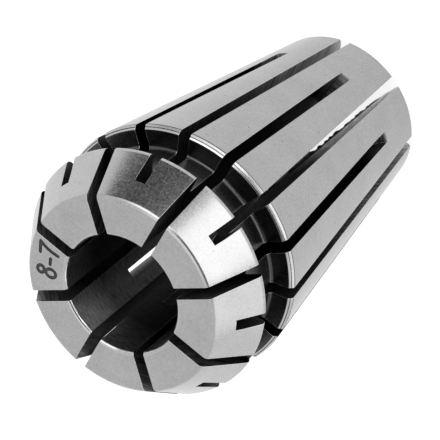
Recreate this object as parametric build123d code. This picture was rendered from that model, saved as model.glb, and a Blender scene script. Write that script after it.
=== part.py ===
from build123d import *
from math import radians, sqrt, tan
import os

# Spring collet of the ER16 form for an 8 mm shank, in millimetres. It stands on its small end:
# the origin is the centre of the small end face, and +Z runs up the axis to the nose.
# It is turned from one bar and then sawn, so it is one solid.

# Body
overall_length = 27.5         # small end face to nose face
head_diameter = 17.0          # widest part of the seating taper
nose_face_diameter = 13.34    # nose face, up to where its edge would be if it were sharp
bore_diameter = 8.0           # the shank that the collet holds
taper_half_angle = 8.0        # seating taper, measured from the axis
nose_half_angle = 30.0        # cone that the clamping nut presses on, measured from the axis
nose_cone_length = 3.5        # nose face to the groove

# Groove behind the nose, where a ring in the nut hooks in and draws the collet out
groove_width = 2.95
groove_floor_diameter = 13.9
groove_corner_radius = 0.28   # left by the tip of the grooving tool

# Broken edges
shoulder_chamfer = 0.27       # groove to seating taper
nose_edge_radius = 0.4        # nose face to nose cone
cone_edge_radius = 0.33       # nose cone to groove
bore_chamfer = 0.15           # both mouths of the bore
tail_chamfer = 0.2            # seating taper to small end face

# Saw cuts: one set runs in from the nose and the other from the small end, and they alternate
cuts_from_each_end = 8
cut_width = 0.75
saw_radius = 15.0
nose_cut_land = 4.35          # small end face to where a cut from the nose closes, on the taper
nose_cut_far_gap = 0.8        # those cuts cross the bore and stop this short of its far wall
tail_cut_land = 1.4           # nose face to where a cut from the small end closes, on the nose cone
tail_cut_overrun = 1.4        # those cuts pass the near wall of the bore by this much

# Radii and heights that follow from these
bore_radius = bore_diameter / 2
head_radius = head_diameter / 2
nose_face_radius = nose_face_diameter / 2
groove_floor_radius = groove_floor_diameter / 2
cone_back_height = overall_length - nose_cone_length
shoulder_height = cone_back_height - groove_width
taper_top_height = shoulder_height - shoulder_chamfer
tail_cut_end = overall_length - tail_cut_land


def taper_radius(height):
    return head_radius - (taper_top_height - height) * tan(radians(taper_half_angle))


def cone_radius(height):
    return nose_face_radius + (overall_length - height) * tan(radians(nose_half_angle))


def corner(section, radius, height):
    """The corner of a section in the XZ plane that is nearest this radius and height."""
    return section.vertices().sort_by_distance((radius, height, 0))[0]


def turned_blank():
    """The collet before it is sawn, bored through and turned to one profile."""
    outline = [
        (bore_radius, 0),
        (taper_radius(0), 0),
        (head_radius, taper_top_height),
        (head_radius - shoulder_chamfer, shoulder_height),
        (groove_floor_radius, shoulder_height),
        (groove_floor_radius, cone_back_height),
        (cone_radius(cone_back_height), cone_back_height),
        (nose_face_radius, overall_length),
        (bore_radius, overall_length),
    ]
    rounded_corners = [
        (groove_floor_radius, shoulder_height, groove_corner_radius),
        (groove_floor_radius, cone_back_height, groove_corner_radius),
        (cone_radius(cone_back_height), cone_back_height, cone_edge_radius),
        (nose_face_radius, overall_length, nose_edge_radius),
    ]
    section = make_face(Polyline(*outline, close=True))
    for radius, height, rounding in rounded_corners:
        section = fillet(corner(section, radius, height), rounding)
    section = chamfer(corner(section, taper_radius(0), 0), tail_chamfer)
    for mouth_height in (0, overall_length):
        section = chamfer(corner(section, bore_radius, mouth_height), bore_chamfer)
    return revolve(Plane.XZ * section, Axis.Z)


def saw_run(floor_radius, closed_end, closed_end_radius, open_end):
    """The slab that the saw disc clears as it runs in from the open end and stops.

    The floor of the cut is at floor_radius. At its closed end the disc leaves its own curve, which
    comes out through the outside of the collet at the height and radius of the closed end.
    """
    centre_radius = floor_radius + saw_radius
    run_out = sqrt(saw_radius**2 - (centre_radius - closed_end_radius) ** 2)
    stop = closed_end + run_out if open_end > closed_end else closed_end - run_out
    path = SlotCenterToCenter(abs(open_end - stop), 2 * saw_radius, rotation=90)
    path_plane = Plane.XZ * Pos(centre_radius, (stop + open_end) / 2)
    return extrude(path_plane * path, cut_width / 2, both=True)


def all_around(cut, first_angle):
    """The same cut at equal angles around the axis."""
    spacing = 360 / cuts_from_each_end
    return [Rot(Z=first_angle + number * spacing) * cut for number in range(cuts_from_each_end)]


nose_cut_floor = nose_cut_far_gap - bore_radius
nose_cut = saw_run(nose_cut_floor, nose_cut_land, taper_radius(nose_cut_land), overall_length)

tail_cut_floor = bore_radius - tail_cut_overrun
tail_cut = saw_run(tail_cut_floor, tail_cut_end, cone_radius(tail_cut_end), 0)

half_spacing = 180 / cuts_from_each_end
collet = turned_blank() - all_around(nose_cut, 0) - all_around(tail_cut, half_spacing)

os.makedirs("parts", exist_ok=True)
export_step(collet, "parts/collet.step")
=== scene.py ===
import math
import random

import bmesh
import bpy
from mathutils import Matrix, Vector


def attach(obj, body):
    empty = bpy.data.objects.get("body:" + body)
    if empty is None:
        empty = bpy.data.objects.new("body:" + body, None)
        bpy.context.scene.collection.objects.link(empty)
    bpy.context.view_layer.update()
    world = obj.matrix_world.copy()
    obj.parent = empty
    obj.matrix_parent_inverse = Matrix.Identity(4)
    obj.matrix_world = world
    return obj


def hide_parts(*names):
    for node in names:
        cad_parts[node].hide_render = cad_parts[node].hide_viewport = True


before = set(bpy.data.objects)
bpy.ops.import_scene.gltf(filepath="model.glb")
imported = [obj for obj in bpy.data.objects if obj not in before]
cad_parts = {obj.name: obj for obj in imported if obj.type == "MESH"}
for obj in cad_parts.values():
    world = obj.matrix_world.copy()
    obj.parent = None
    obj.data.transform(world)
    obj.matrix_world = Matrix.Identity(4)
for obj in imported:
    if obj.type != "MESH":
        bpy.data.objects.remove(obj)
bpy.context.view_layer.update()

# An ER16 collet with an 8 mm bore. It stands on its small end, with its axis on Z. Its sizes are in
# millimetres, and MM turns them into metres where they go into a mesh or a material.
MM = 0.001

# ---------------------------------------------------------------- sizes of the collet, the same as in part.py
LENGTH = 27.5
HEAD_RADIUS = 8.5
NOSE_FACE_RADIUS = 6.67
BORE_RADIUS = 4.0
GROOVE_RADIUS = 6.95
NOSE_CONE_LENGTH = 3.5
GROOVE_WIDTH = 2.95
TAPER_ANGLE = math.radians(8)
NOSE_ANGLE = math.radians(30)

SHOULDER_CHAMFER = 0.27
BORE_CHAMFER = 0.15
TAIL_CHAMFER = 0.2
NOSE_EDGE_ROUNDING = 0.4
CONE_EDGE_ROUNDING = 0.33
GROOVE_CORNER_ROUNDING = 0.28

CUTS = 16
HALF_CUT = 0.375
SAW_RADIUS = 15.0

# A cut from the nose closes at this height, and stops this short of the bore's far wall.
NOSE_CUT_END = 4.35
NOSE_CUT_FAR_GAP = 0.8

# A cut from the small end closes this far below the nose face, and passes the bore's near wall by this much.
TAIL_CUT_LAND = 1.4
TAIL_CUT_OVERRUN = 1.4

NOSE_CUT_FLOOR = NOSE_CUT_FAR_GAP - BORE_RADIUS
TAIL_CUT_FLOOR = BORE_RADIUS - TAIL_CUT_OVERRUN
TAIL_CUT_END = LENGTH - TAIL_CUT_LAND
CONE_BACK = LENGTH - NOSE_CONE_LENGTH
SHOULDER = CONE_BACK - GROOVE_WIDTH
TAPER_TOP = SHOULDER - SHOULDER_CHAMFER
TAIL_CHAMFER_TOP = TAIL_CHAMFER * math.cos(TAPER_ANGLE)

# ---------------------------------------------------------------- what only the looks have
TAIL_EDGE_ROUNDING = 0.05
SHOULDER_OUTER_ROUNDING = 0.03
SHOULDER_STEP_ROUNDING = 0.04
SHOULDER_INNER_ROUNDING = 0.05
BORE_MOUTH_ROUNDING = 0.2
TURNED_LINE_WIDTH = 0.07
TURNED_LINE_DEPTH = 0.035

# Width of the broken edges: round the closed end of each cut, and along its open part.
RUN_OUT_EDGE = 0.13
OPEN_EDGE = 0.065

# The saw tore one wall of one cut: the number of that cut, and which side of it, -1 or 1.
TORN_CUT = 11
TORN_SIDE = -1

# ---------------------------------------------------------------- fineness of the mesh
STRIP_COLUMNS = 4
LAND_COLUMNS = 10
COLUMNS_PER_CUT = STRIP_COLUMNS + LAND_COLUMNS
RUN_OUT_ROWS = 14
STATION_SPACING = 1.6
ROUNDING_STEP = math.radians(15)
EDGE_SEGMENTS = 3
CREASE_ANGLE = math.radians(35)

# The places of the columns across a cut, in half widths from its middle.
STRIP = [-1 + 2 * j / STRIP_COLUMNS for j in range(STRIP_COLUMNS + 1)]


def taper_radius(height):
    return HEAD_RADIUS - (TAPER_TOP - height) * math.tan(TAPER_ANGLE)


def cone_radius(height):
    return NOSE_FACE_RADIUS + (LENGTH - height) * math.tan(NOSE_ANGLE)


class SawCut:
    """A cut whose closed end is the curve of the saw disc. direction is +1 if it opens at the nose."""

    def __init__(self, floor_radius, closed_height, closed_radius, direction, surface):
        self.closed_height = closed_height
        self.closed_radius = closed_radius
        self.direction = direction
        self.surface = surface
        self.centre_radius = floor_radius + SAW_RADIUS
        self.centre_height = closed_height + direction * self.disc_drop(closed_radius)

    def disc_drop(self, radius):
        """How far the disc's rim is beyond its centre, at this radius of the collet."""
        return math.sqrt(SAW_RADIUS**2 - (self.centre_radius - radius) ** 2)

    def end_height(self, radius):
        return self.centre_height - self.direction * self.disc_drop(radius)

    def is_open(self, radius, height):
        return self.direction * (height - self.end_height(radius)) > 0


nose_cut = SawCut(NOSE_CUT_FLOOR, NOSE_CUT_END, taper_radius(NOSE_CUT_END), +1, "nose_cut")
tail_cut = SawCut(TAIL_CUT_FLOOR, TAIL_CUT_END, cone_radius(TAIL_CUT_END), -1, "tail_cut")


def cut_at(number):
    """The cuts alternate round the collet, and the first one is from the nose."""
    return tail_cut if number % 2 else nose_cut


# ---------------------------------------------------------------- the section, as stations round its outline
def on_shoulder(inward, up):
    """A place on the shoulder chamfer, in shares of the chamfer from its outer edge."""
    return HEAD_RADIUS - inward * SHOULDER_CHAMFER, TAPER_TOP + up * SHOULDER_CHAMFER


# Each corner: radius, height, rounding, and the surface that runs from it to the next corner.
OUTLINE = [
    (BORE_RADIUS + BORE_CHAMFER, 0, 0, "turned"),
    (taper_radius(0) - TAIL_CHAMFER, 0, 0, "chamfer"),
    (taper_radius(TAIL_CHAMFER_TOP), TAIL_CHAMFER_TOP, TAIL_EDGE_ROUNDING, "ground"),
    (nose_cut.closed_radius, NOSE_CUT_END, 0, "ground"),
    (taper_radius(TAPER_TOP - TURNED_LINE_WIDTH), TAPER_TOP - TURNED_LINE_WIDTH, 0, "groove"),
    (HEAD_RADIUS - TURNED_LINE_DEPTH, TAPER_TOP - TURNED_LINE_WIDTH / 2, 0, "chamfer"),
    (HEAD_RADIUS, TAPER_TOP, SHOULDER_OUTER_ROUNDING, "chamfer"),
    (*on_shoulder(0.42, 0.50), 0, "groove"),
    (*on_shoulder(0.54, 0.46), 0, "chamfer"),
    (*on_shoulder(0.60, 0.64), SHOULDER_STEP_ROUNDING, "chamfer"),
    (HEAD_RADIUS - SHOULDER_CHAMFER, SHOULDER, SHOULDER_INNER_ROUNDING, "groove"),
    (GROOVE_RADIUS, SHOULDER, GROOVE_CORNER_ROUNDING, "groove"),
    (GROOVE_RADIUS, CONE_BACK, GROOVE_CORNER_ROUNDING, "groove"),
    (cone_radius(CONE_BACK), CONE_BACK, CONE_EDGE_ROUNDING, "cone"),
    (tail_cut.closed_radius, TAIL_CUT_END, 0, "cone"),
    (NOSE_FACE_RADIUS, LENGTH, NOSE_EDGE_ROUNDING, "face"),
    (BORE_RADIUS + BORE_CHAMFER, LENGTH, BORE_MOUTH_ROUNDING, "chamfer"),
    (BORE_RADIUS, LENGTH - BORE_CHAMFER, BORE_MOUTH_ROUNDING, "bore"),
    (BORE_RADIUS, tail_cut.end_height(BORE_RADIUS), 0, "bore"),
    (BORE_RADIUS, nose_cut.end_height(BORE_RADIUS), 0, "bore"),
    (BORE_RADIUS, BORE_CHAMFER, 0, "turned"),
]


def bend(before, corner, after, rounding):
    """The points of a corner, from its first tangent point to its last, or the corner if it is sharp."""
    if not rounding:
        return [corner]
    to_before = (before - corner).normalized()
    to_after = (after - corner).normalized()
    opening = to_before.angle(to_after)
    centre = corner + (to_before + to_after).normalized() * rounding / math.sin(opening / 2)
    reach = rounding / math.tan(opening / 2)
    start = corner + to_before * reach - centre
    end = corner + to_after * reach - centre
    turn = start.angle_signed(end)
    steps = max(2, round(abs(turn) / ROUNDING_STEP))
    return [centre + Matrix.Rotation(-turn * i / steps, 2) @ start for i in range(steps + 1)]


def stations():
    """Points round the outline, each with the surface that runs from it to the next one."""
    corners = [Vector(corner[:2]) for corner in OUTLINE]
    befores = corners[-1:] + corners[:-1]
    afters = corners[1:] + corners[:1]
    roundings = [corner[2] for corner in OUTLINE]
    bends = [bend(*places) for places in zip(befores, corners, afters, roundings)]
    found = []
    for points, next_points, corner in zip(bends, bends[1:] + bends[:1], OUTLINE):
        surface = corner[3]
        start = points[-1]
        end = next_points[0]
        pieces = max(1, math.ceil((end - start).length / STATION_SPACING))
        found += [(point, surface) for point in points]
        found += [(start.lerp(end, k / pieces), surface) for k in range(1, pieces)]
    return found


# ---------------------------------------------------------------- the mesh
SURFACES = ["ground", "cone", "face", "chamfer", "groove", "turned", "bore",
            "nose_cut", "tail_cut", "torn_wall", "edge", "mark"]


def as_mesh(bm, name):
    """Ends the work on a closed mesh, with its normals outwards."""
    bmesh.ops.recalc_face_normals(bm, faces=bm.faces)
    mesh = bpy.data.meshes.new(name)
    bm.to_mesh(mesh)
    bm.free()
    return mesh


def add_object(name, data):
    obj = bpy.data.objects.new(name, data)
    bpy.context.collection.objects.link(obj)
    return obj


def join_rows(bm, rows):
    """Faces from each row of points to the next, all the way round."""
    for row, following in zip(rows, rows[1:]):
        for k in range(len(row)):
            after = (k + 1) % len(row)
            bm.faces.new((row[k], row[after], following[after], following[k]))


def on_circle(radius, height, angle):
    return Vector((radius * math.cos(angle), radius * math.sin(angle), height)) * MM


def cut_angle(number):
    return math.tau * number / CUTS


def across_cut(radius, t):
    """The angle, from the middle of a cut, of the plane that is t half widths to one side."""
    return math.asin(t * HALF_CUT / radius)


def column_angles(radius):
    """The angle of each column of points at this radius: across every cut, then over the land after it."""
    angles = []
    for number in range(CUTS):
        edge = across_cut(radius, 1)
        land = math.tau / CUTS - 2 * edge
        angles += [cut_angle(number) + across_cut(radius, t) for t in STRIP]
        angles += [cut_angle(number) + edge + land * j / LAND_COLUMNS for j in range(1, LAND_COLUMNS)]
    return angles


def nearest_station(outline, radius, height):
    return min(range(len(outline)), key=lambda i: (outline[i][0] - Vector((radius, height))).length)


def add_skin(bm, outline, grid):
    """The turned surfaces, left open where the cuts come through them."""
    columns = len(grid[0])
    for i, (point, surface) in enumerate(outline):
        above = (i + 1) % len(outline)
        middle = (point + outline[above][0]) / 2
        for j in range(columns):
            number, step = divmod(j, COLUMNS_PER_CUT)
            if step < STRIP_COLUMNS and cut_at(number).is_open(middle.x, middle.y):
                continue
            k = (j + 1) % columns
            face = bm.faces.new((grid[i][j], grid[i][k], grid[above][k], grid[above][j]))
            face.material_index = SURFACES.index(surface)


def add_run_out(bm, number, outer, outer_radius, inner):
    """The curved end that the saw disc leaves, as rows of faces from the outside to the bore."""
    cut = cut_at(number)
    rows = [outer]
    for i in range(1, RUN_OUT_ROWS):
        radius = outer_radius + (BORE_RADIUS - outer_radius) * i / RUN_OUT_ROWS
        angles = [cut_angle(number) + across_cut(radius, t) for t in STRIP]
        rows.append([bm.verts.new(on_circle(radius, cut.end_height(radius), angle)) for angle in angles])
    rows.append(inner)
    for row, following in zip(rows, rows[1:]):
        for j in range(STRIP_COLUMNS):
            face = bm.faces.new((row[j], row[j + 1], following[j + 1], following[j]))
            face.material_index = SURFACES.index(cut.surface)
    return rows


def add_cut(bm, outline, grid, number, weight):
    """The curved end and the two walls of one cut. weight is the layer for the widths of broken edges."""
    cut = cut_at(number)
    first = number * COLUMNS_PER_CUT
    strip = slice(first, first + STRIP_COLUMNS + 1)
    outer = nearest_station(outline, cut.closed_radius, cut.closed_height)
    inner = nearest_station(outline, BORE_RADIUS, cut.end_height(BORE_RADIUS))
    rows = add_run_out(bm, number, grid[outer][strip], outline[outer][0].x, grid[inner][strip])
    start, stop = inner, outer
    if cut is nose_cut:
        start, stop = outer, inner
        rows.reverse()
    steps = (stop - start) % len(outline)
    open_stations = [(start + i) % len(outline) for i in range(steps + 1)]
    for side, column in ((0, first), (-1, first + STRIP_COLUMNS)):
        run_out = [row[side] for row in rows]
        wall = bm.faces.new([grid[i][column] for i in open_stations] + run_out[1:-1])
        torn = number == TORN_CUT and STRIP[side] == TORN_SIDE
        wall.material_index = SURFACES.index("torn_wall" if torn else cut.surface)
        for edge in wall.edges:
            edge[weight] = 1 if set(run_out).issuperset(edge.verts) else OPEN_EDGE / RUN_OUT_EDGE


def collet_mesh():
    outline = stations()
    bm = bmesh.new()
    weight = bm.edges.layers.float.new("bevel_weight_edge")
    grid = []
    for point, _ in outline:
        angles = column_angles(point.x)
        grid.append([bm.verts.new(on_circle(point.x, point.y, angle)) for angle in angles])
    add_skin(bm, outline, grid)
    for number in range(CUTS):
        add_cut(bm, outline, grid, number, weight)
    loose = [vert for vert in bm.verts if not vert.link_faces]
    bmesh.ops.delete(bm, geom=loose, context="VERTS")
    mesh = as_mesh(bm, "collet_fine")
    mesh.shade_smooth()
    return mesh


# ---------------------------------------------------------------- materials
def add(tree, kind, inputs, **settings):
    """A shader node with its sockets set to values or joined to other nodes' outputs."""
    node = tree.nodes.new("ShaderNode" + kind)
    for name, value in settings.items():
        setattr(node, name, value)
    for socket, value in inputs.items():
        if isinstance(value, bpy.types.NodeSocket):
            tree.links.new(value, node.inputs[socket])
        else:
            node.inputs[socket].default_value = value
    return node


def noise(tree, vector, scale, detail=2.0, roughness=0.5):
    inputs = {"Vector": vector, "Scale": scale, "Detail": detail, "Roughness": roughness}
    return add(tree, "TexNoise", inputs).outputs["Fac"]


def span(tree, factor, low, high, start=0.0, end=1.0):
    """From low to high, as factor goes from start to end."""
    inputs = {"Value": factor, "From Min": start, "From Max": end, "To Min": low, "To Max": high}
    return add(tree, "MapRange", inputs).outputs["Result"]


def maths(tree, operation, *values):
    return add(tree, "Math", dict(enumerate(values)), operation=operation).outputs[0]


def scaled(tree, vector, scale):
    return add(tree, "VectorMath", {0: vector, 1: scale}, operation="MULTIPLY").outputs[0]


def combined(tree, x, y, z):
    return add(tree, "CombineXYZ", {"X": x, "Y": y, "Z": z}).outputs[0]


def object_place(tree):
    return add(tree, "TexCoord", {}).outputs["Object"]


def polar(tree):
    """Angle, radius and height of the point that is shaded, in radians and metres."""
    xyz = add(tree, "SeparateXYZ", {"Vector": object_place(tree)})
    x, y, z = (xyz.outputs[name] for name in "XYZ")
    squares = maths(tree, "ADD", maths(tree, "MULTIPLY", x, x), maths(tree, "MULTIPLY", y, y))
    return maths(tree, "ARCTAN2", y, x), maths(tree, "SQRT", squares), z


def round_axis(tree, along, across):
    """Coordinates for lines that run round the axis."""
    angle, radius, z = polar(tree)
    return scaled(tree, combined(tree, angle, radius, z), (along * HEAD_RADIUS, across / MM, across / MM))


def along_saw(tree, along, across):
    """Coordinates for the arcs that the saw disc leaves on a wall as it feeds along the collet.

    The arcs are those of the cuts from the small end, which do for the others too.
    """
    angle, radius, z = polar(tree)
    inward = maths(tree, "SUBTRACT", tail_cut.centre_radius * MM, radius)
    squares = maths(tree, "SUBTRACT", (SAW_RADIUS * MM) ** 2, maths(tree, "MULTIPLY", inward, inward))
    feed = maths(tree, "ADD", z, maths(tree, "SQRT", squares))
    return scaled(tree, combined(tree, feed, radius, angle), (across / MM, along / MM, 1.0))


def along_collet(tree, along, across):
    """Coordinates for streaks that run the length of the collet on a wall."""
    angle, radius, z = polar(tree)
    return scaled(tree, combined(tree, z, radius, angle), (along / MM, across / MM, 1.0))


def start_material(name):
    material = bpy.data.materials.new(name)
    material.use_nodes = True
    tree = material.node_tree
    return material, tree, tree.nodes["Principled BSDF"]


def join(tree, shader, **sockets):
    for name, value in sockets.items():
        tree.links.new(value, shader.inputs[name.replace("_", " ")])


# What all the steels have: broad clouds, which vary the tone by MOTTLE, a fine grain, which varies it by
# twice that, and specks, which are darker by SPECK_DEPTH. Each range is the part of a noise that is used.
CLOUDS_PER_MM = 0.5
SPECKS_PER_MM = 4.0
GRAINS_PER_MM = 7.0
CLOUD_RANGE = (0.35, 0.65)
SPECK_RANGE = (0.2, 0.26)
GRAIN_RANGE = (0.3, 0.7)
MOTTLE = 0.03
SPECK_DEPTH = 0.3
ROUGHNESS_SPREAD = 0.15


def faded(tree, tint, what, start, end, factor):
    """Painted light and shade by place: the tint, unchanged up to the start and multiplied by the factor from
    the end on, both in mm.
    """
    _, radius, height = polar(tree)
    coordinate = {"radius": radius, "height": height}[what]
    return maths(tree, "MULTIPLY", tint, span(tree, coordinate, 1.0, factor, start * MM, end * MM))


def steel_tint(tree, tone, grain, lines, fine, painted_light_fades):
    """The tone, varied by the lines, the grain of the metal, broad clouds and small dark specks, and then by
    the fades of painted light and shade.
    """
    place = object_place(tree)
    clouds = noise(tree, place, CLOUDS_PER_MM / MM, 3.0)
    specks = noise(tree, place, SPECKS_PER_MM / MM, 1.0)
    tint = span(tree, lines, tone * (1 - grain), tone * (1 + grain), *GRAIN_RANGE)
    for shade in (span(tree, fine, 1 - 2 * MOTTLE, 1 + 2 * MOTTLE, *GRAIN_RANGE),
                  span(tree, clouds, 1 - MOTTLE, 1 + MOTTLE, *CLOUD_RANGE),
                  span(tree, specks, 1 - SPECK_DEPTH, 1.0, *SPECK_RANGE)):
        tint = maths(tree, "MULTIPLY", tint, shade)
    for fade in painted_light_fades:
        tint = faded(tree, tint, *fade)
    return tint


def steel(name, tone, roughness, grain, relief, pattern=round_axis, along=0.4, across=9.0, glance=1.0,
          painted_light_fades=()):
    """Bare steel with fine lines on it.

    tone is what it reflects, grain how much its lines vary that, and relief their height in mm. pattern is
    how the lines run, and along and across how fast they change with the run and across it, to a mm. glance
    is what it reflects at a flat angle, which is less in the rough cuts. Each fade paints light and shade by
    place, and is "radius" or "height", the place in mm where it starts, the place where it ends, and what
    multiplies the tone from there.
    """
    material, tree, shader = start_material(name)
    lines = noise(tree, pattern(tree, along, across), 1.0, 3.0, 0.6)
    fine = noise(tree, object_place(tree), GRAINS_PER_MM / MM)
    tint = steel_tint(tree, tone, grain, lines, fine, painted_light_fades)
    smoothest = roughness * (1 - ROUGHNESS_SPREAD)
    roughest = roughness * (1 + ROUGHNESS_SPREAD)
    heights = {"Height": maths(tree, "ADD", lines, fine), "Distance": relief * MM, "Strength": 1.0}
    shader.inputs["Metallic"].default_value = 1.0
    shader.inputs["Specular Tint"].default_value = (glance, glance, glance, 1)
    join(tree, shader, Base_Color=tint, Roughness=span(tree, fine, smoothest, roughest, *GRAIN_RANGE),
         Normal=add(tree, "Bump", heights).outputs[0])
    return material


# Name, tone, roughness, grain and relief of each steel, and its lines and fades where they aren't the usual.
# The fades are painted light and shade.
STEEL = {
    "ground": steel("ground_steel", 0.445, 0.24, 0.01, 0.0005),
    "cone": steel("ground_cone", 0.49, 0.24, 0.01, 0.0025),
    "face": steel("faced_steel", 0.48, 0.24, 0.01, 0.0005),
    "chamfer": steel("turned_chamfer", 0.52, 0.2, 0.06, 0.0008),
    # The groove's low tone is painted shade in the recess.
    "groove": steel("turned_groove_painted_shade", 0.12, 0.28, 0.2, 0.002),
    "turned": steel("turned_end", 0.45, 0.3, 0.08, 0.001),
    # The bore's low tone is painted shade inside it, and its fades paint it brighter near the nose and darker
    # towards the small end.
    "bore": steel("honed_bore_painted_light_and_shade", 0.18, 0.34, 0.6, 0.004, along=0.7, across=13.0,
                  painted_light_fades=[("height", 24, 26.5, 3.5), ("height", 14, 8, 0.4)]),
    # Its fades paint shade on the wall between its ends and towards the bore, and light near the nose.
    "nose_cut": steel("wall_sawn_from_nose_painted_light_and_shade", 0.32, 0.5, 0.85, 0.006, along_saw, 0.5, 5.0, glance=0.4,
                      painted_light_fades=[("height", 5.5, 7.5, 0.03), ("height", 24.5, 27.0, 34.0),
                             ("radius", 5.8, 4.6, 0.6)]),
    # Its fade paints shade on the wall further from the small end.
    "tail_cut": steel("wall_sawn_from_small_end_painted_shade", 0.42, 0.5, 0.6, 0.008, along_saw, 0.4, 6.0,
                      painted_light_fades=[("height", 8, 15, 0.25)]),
    # Its fade paints shade on the wall further from the small end.
    "torn_wall": steel("wall_torn_by_the_saw_painted_shade", 0.8, 0.5, 0.95, 0.015, along_collet, 1.2, 7.0,
                       painted_light_fades=[("height", 9, 14, 0.15)]),
    "burr": steel("torn_burr", 0.14, 0.5, 0.5, 0.004),
    "edge": steel("broken_edge", 0.6, 0.25, 0.05, 0.0005),
    "mark": steel("etched_mark", 0.12, 0.55, 0.3, 0.002),
}

FLOOR_GLOW = 0.88
FLOOR_GRAINS_PER_METRE = 900.0
CARD_GRAINS_PER_METRE = 400.0
CARD_SPREAD = 1.3


def floor_material():
    """A pale sheet that is lit from below, as the top of a light table is."""
    material, tree, shader = start_material("white_sweep")
    fine = noise(tree, object_place(tree), FLOOR_GRAINS_PER_METRE, 3.0)
    shader.inputs["Emission Strength"].default_value = FLOOR_GLOW
    shader.inputs["Emission Color"].default_value = (1, 1, 1, 1)
    join(tree, shader, Base_Color=span(tree, fine, 0.17, 0.19), Roughness=span(tree, fine, 0.5, 0.6))
    return material


def card_material(tone):
    """A dark card, from the tone up to CARD_SPREAD times as pale."""
    material, tree, shader = start_material("dark_card")
    fine = noise(tree, object_place(tree), CARD_GRAINS_PER_METRE)
    join(tree, shader, Base_Color=span(tree, fine, tone, CARD_SPREAD * tone))
    return material


# ---------------------------------------------------------------- the mark on the nose face
MARK_ANGLE = math.radians(19)
MARK_DEPTH = 0.03
CUTTER_HEIGHT = 0.1
STROKE_HALF_WIDTH = 0.115
LOOP_POINTS = 24

# Where the sections of a stroke's round end are, as angles from its last full section, in radians.
STROKE_END_ANGLES = (0.5, 1.0, 1.4)

# The cutting of the mark leaves edges that are shorter than this. They are closed up.
SLIVER = 0.0001


def loop(centre, across, out):
    """Points round an ellipse, from its outermost point."""
    turns = [math.tau * i / LOOP_POINTS for i in range(LOOP_POINTS)]
    return [(centre[0] + across * math.sin(turn), centre[1] + out * math.cos(turn)) for turn in turns]


# The strokes of the 8, the dash and the 7. Each point is a place in the direction of reading and one out from
# the axis, and each stroke says whether it is closed.
MARK_STROKES = [
    (loop((-0.70, 5.74), 0.255, 0.24), True),
    (loop((-0.73, 5.01), 0.29, 0.36), True),
    ([(-0.10, 5.14), (0.30, 5.15)], False),
    ([(0.51, 5.94), (0.90, 5.97), (1.29, 5.99)], False),
    ([(1.29, 5.99), (1.08, 5.70), (0.92, 5.40), (0.80, 5.05), (0.71, 4.66)], False),
]


def mark_place(point):
    """A point of the mark, as a place in the plane of the nose face."""
    reading = Vector((math.sin(MARK_ANGLE), -math.cos(MARK_ANGLE)))
    outward = Vector((math.cos(MARK_ANGLE), math.sin(MARK_ANGLE)))
    return reading * point[0] + outward * point[1]


def round_end(section, step):
    """The sections that round off the end of a stroke. step is 1 to go on along it, and -1 to go back."""
    place, half = section
    along = Vector((half.y, -half.x)) * step
    return [(place + along * math.sin(angle), half * math.cos(angle)) for angle in STROKE_END_ANGLES]


def stroke_sections(points, closed):
    """Centre and half width of each section of a stroke, with round ends if it is open."""
    places = [mark_place(point) for point in points]
    befores = places[-1:] + places[:-1] if closed else places[:1] + places[:-1]
    afters = places[1:] + places[:1] if closed else places[1:] + places[-1:]
    sections = []
    for before, place, after in zip(befores, places, afters):
        along = (after - before).normalized()
        sections.append((place, Vector((-along.y, along.x)) * STROKE_HALF_WIDTH))
    if closed:
        return sections
    return round_end(sections[0], -1)[::-1] + sections + round_end(sections[-1], 1)


def stroke_cutter(points, closed):
    """A solid that cuts one stroke of the mark into the nose face."""
    bm = bmesh.new()
    rows = []
    for place, half in stroke_sections(points, closed):
        corners = [(place + half, -MARK_DEPTH), (place - half, -MARK_DEPTH),
                   (place - half, CUTTER_HEIGHT), (place + half, CUTTER_HEIGHT)]
        rows.append([bm.verts.new(Vector((p.x, p.y, LENGTH + z)) * MM) for p, z in corners])
    if closed:
        join_rows(bm, rows + rows[:1])
    else:
        join_rows(bm, rows)
        bm.faces.new(rows[0])
        bm.faces.new(rows[-1])
    mesh = as_mesh(bm, "stroke")
    mesh.materials.append(STEEL["mark"])
    return add_object("stroke", mesh)


def engrave(obj):
    """Cuts the mark into the nose face, and keeps the result as the object's own mesh."""
    cutters = [stroke_cutter(points, closed) for points, closed in MARK_STROKES]
    for cutter in cutters:
        carving = obj.modifiers.new("mark", "BOOLEAN")
        carving.operation = "DIFFERENCE"
        carving.solver = "EXACT"
        carving.material_mode = "TRANSFER"
        carving.object = cutter
    scene_graph = bpy.context.evaluated_depsgraph_get()
    obj.data = bpy.data.meshes.new_from_object(obj.evaluated_get(scene_graph))
    obj.modifiers.clear()
    for cutter in cutters:
        bpy.data.objects.remove(cutter)


def close_slivers(mesh):
    """Takes out the faces without area that the cutting of the mark leaves."""
    bm = bmesh.new()
    bm.from_mesh(mesh)
    bmesh.ops.dissolve_degenerate(bm, dist=SLIVER * MM, edges=bm.edges)
    bm.to_mesh(mesh)
    bm.free()


def smooth_fans(vert):
    """The faces round a point, in groups that meet without a crease."""
    left = set(vert.link_faces)
    while left:
        fan = [left.pop()]
        for face in fan:
            for edge in face.edges:
                if edge.smooth and vert in edge.verts:
                    joined = left.intersection(edge.link_faces)
                    fan += joined
                    left -= joined
        yield fan


def crease_normals(mesh):
    """Gives each corner the normal of the faces that meet there without a crease, weighted by area."""
    bm = bmesh.new()
    bm.from_mesh(mesh)
    normals = [None] * len(mesh.loops)
    for vert in bm.verts:
        for fan in smooth_fans(vert):
            normal = sum((face.normal * face.calc_area() for face in fan), Vector()).normalized()
            for corner in vert.link_loops:
                if corner.face in fan:
                    normals[corner.index] = normal
    bm.free()
    mesh.normals_split_custom_set(normals)


# ---------------------------------------------------------------- the burr that the saw left on the torn wall
BURR_START = 0.7
BURR_END = 16.5
BURR_STEP = 0.29

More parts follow.
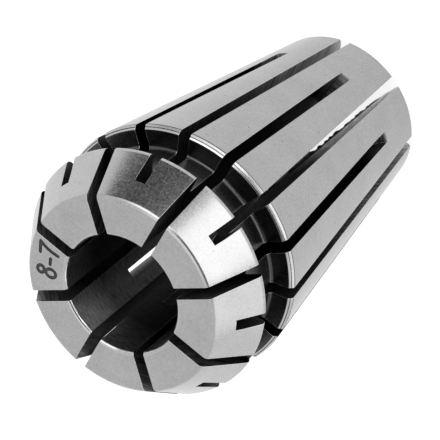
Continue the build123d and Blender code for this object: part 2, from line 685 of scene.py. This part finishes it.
# How far it stands out from the wall: at least, and by how much more at most.
BURR_LEAST = 0.02
BURR_MOST = 0.16

# Its section: how far along the wall it reaches from the bore, how thick its tip is, how far its back stays
# behind the bore, how deep it is sunk into the wall, and how high it is at its foot.
BURR_REACH = 0.3
BURR_TIP = 0.05
BURR_BACK = 0.02
BURR_SUNK = 0.05
BURR_FOOT = 0.002


def burr_section(tip):
    """Corners of the burr across its length, as radius and place across the cut. tip is where it ends."""
    foot = BORE_RADIUS + BURR_REACH
    wall = HALF_CUT + BURR_SUNK
    return [(BORE_RADIUS + BURR_BACK, wall), (foot, wall), (foot, HALF_CUT - BURR_FOOT),
            (BORE_RADIUS + BURR_TIP, tip), (BORE_RADIUS, tip)]


def burr_mesh():
    """A ragged ridge along the bore's edge of the torn wall, standing out into the cut."""
    chance = random.Random(5)
    middle = cut_angle(TORN_CUT)
    out = Vector((math.cos(middle), math.sin(middle), 0))
    across = Vector((-math.sin(middle), math.cos(middle), 0)) * TORN_SIDE
    steps = round((BURR_END - BURR_START) / BURR_STEP)
    bm = bmesh.new()
    rows = []
    for i in range(steps + 1):
        level = Vector((0, 0, BURR_START + BURR_STEP * i))
        swell = math.sin(math.pi * i / steps) ** 0.5
        tip = HALF_CUT - BURR_LEAST - swell * chance.uniform(0.1, 1) * BURR_MOST
        rows.append([bm.verts.new((out * r + across * a + level) * MM) for r, a in burr_section(tip)])
    join_rows(bm, rows)
    bm.faces.new(rows[0])
    bm.faces.new(rows[-1])
    mesh = as_mesh(bm, "burr")
    mesh.materials.append(STEEL["burr"])
    return mesh


# ---------------------------------------------------------------- studio, in metres and degrees
# The lens and the sensor are in millimetres, as Blender has them.
CAMERA_AZIMUTH = -14.321
CAMERA_ELEVATION = 48.3456
CAMERA_ROLL = -129.8743
CAMERA_TARGET = Vector((-0.386, 0.099, 15.985)) * MM
CAMERA_DISTANCE = 0.256880
LENS = 330.759
SENSOR = 36

# What the lights and cards face.
SUBJECT = Vector((0, 0, 0.022))

# Each softbox and each dark card: azimuth, elevation, distance, width, height, and then radiance or tone.
SOFTBOXES = {
    "key": (-32, 18, 0.6, 0.62, 0.38, 1.1),
    "fill": (-84, 12, 0.7, 0.5, 0.34, 0.5),
    "top": (0, 88, 0.8, 0.5, 0.5, 0.5),
    "rim": (21, 42, 0.6, 0.53, 0.34, 1.2),
}
DARK_CARDS = [
    (37, 5, 0.6, 0.71, 0.24, 0.02),
    (-34, 45, 0.35, 0.34, 0.17, 0.12),
]
FLOOR_SIZE = 6
VIEW_GAMMA = 0.8


def place_camera():
    turn = (Matrix.Rotation(math.radians(CAMERA_AZIMUTH), 4, "Z")
            @ Matrix.Rotation(math.pi / 2 - math.radians(CAMERA_ELEVATION), 4, "X"))
    data = bpy.data.cameras.new("camera")
    data.lens = LENS
    data.sensor_width = SENSOR
    data.clip_start = 0.01
    camera = add_object("camera", data)
    camera.matrix_world = (Matrix.Translation(CAMERA_TARGET) @ turn
                           @ Matrix.Translation((0, 0, CAMERA_DISTANCE))
                           @ Matrix.Rotation(math.radians(CAMERA_ROLL), 4, "Z"))
    bpy.context.scene.camera = camera


def aim(obj, azimuth, elevation, distance):
    """Puts an object in this direction from the subject, facing it and unseen by the camera."""
    azimuth, elevation = math.radians(azimuth), math.radians(elevation)
    across = math.cos(elevation) * distance
    offset = Vector((math.sin(azimuth) * across, -math.cos(azimuth) * across, math.sin(elevation) * distance))
    turn = offset.to_track_quat("Z", "Y").to_matrix().to_4x4()
    obj.matrix_world = Matrix.Translation(SUBJECT + offset) @ turn
    obj.visible_camera = False


def softbox(name, azimuth, elevation, distance, width, height, radiance):
    data = bpy.data.lights.new(name, "AREA")
    data.shape = "RECTANGLE"
    data.size = width
    data.size_y = height
    data.energy = radiance * math.pi * width * height
    aim(add_object(name, data), azimuth, elevation, distance)


def sheet_object(name, width, height, material):
    x, y = width / 2, height / 2
    mesh = bpy.data.meshes.new(name)
    mesh.from_pydata([(-x, -y, 0), (x, -y, 0), (x, y, 0), (-x, y, 0)], [], [(0, 1, 2, 3)])
    mesh.materials.append(material)
    return add_object(name, mesh)


def dark_card(azimuth, elevation, distance, width, height, tone):
    flag = sheet_object("flag", width, height, card_material(tone))
    aim(flag, azimuth, elevation, distance)


def light_studio():
    world = bpy.data.worlds.new("studio")
    world.use_nodes = True
    background = world.node_tree.nodes["Background"]
    background.inputs["Color"].default_value = (1, 1, 1, 1)
    background.inputs["Strength"].default_value = 1.0
    bpy.context.scene.world = world
    for name, settings in SOFTBOXES.items():
        softbox(name, *settings)
    for settings in DARK_CARDS:
        dark_card(*settings)


def build_collet():
    collet = add_object("collet_fine", collet_mesh())
    for surface in SURFACES:
        collet.data.materials.append(STEEL[surface])
    edges = collet.modifiers.new("broken edges", "BEVEL")
    edges.limit_method = "WEIGHT"
    edges.width = RUN_OUT_EDGE * MM
    edges.segments = EDGE_SEGMENTS
    edges.material = SURFACES.index("edge")
    engrave(collet)
    close_slivers(collet.data)
    collet.data.set_sharp_from_angle(angle=CREASE_ANGLE)
    crease_normals(collet.data)
    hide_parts("collet")
    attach(collet, "root")


def build_burr():
    burr = add_object("burr", burr_mesh())
    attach(burr, "root")


floor = sheet_object("floor", FLOOR_SIZE, FLOOR_SIZE, floor_material())
build_collet()
build_burr()
place_camera()
light_studio()
bpy.context.scene.view_settings.view_transform = "Standard"
bpy.context.scene.view_settings.gamma = VIEW_GAMMA
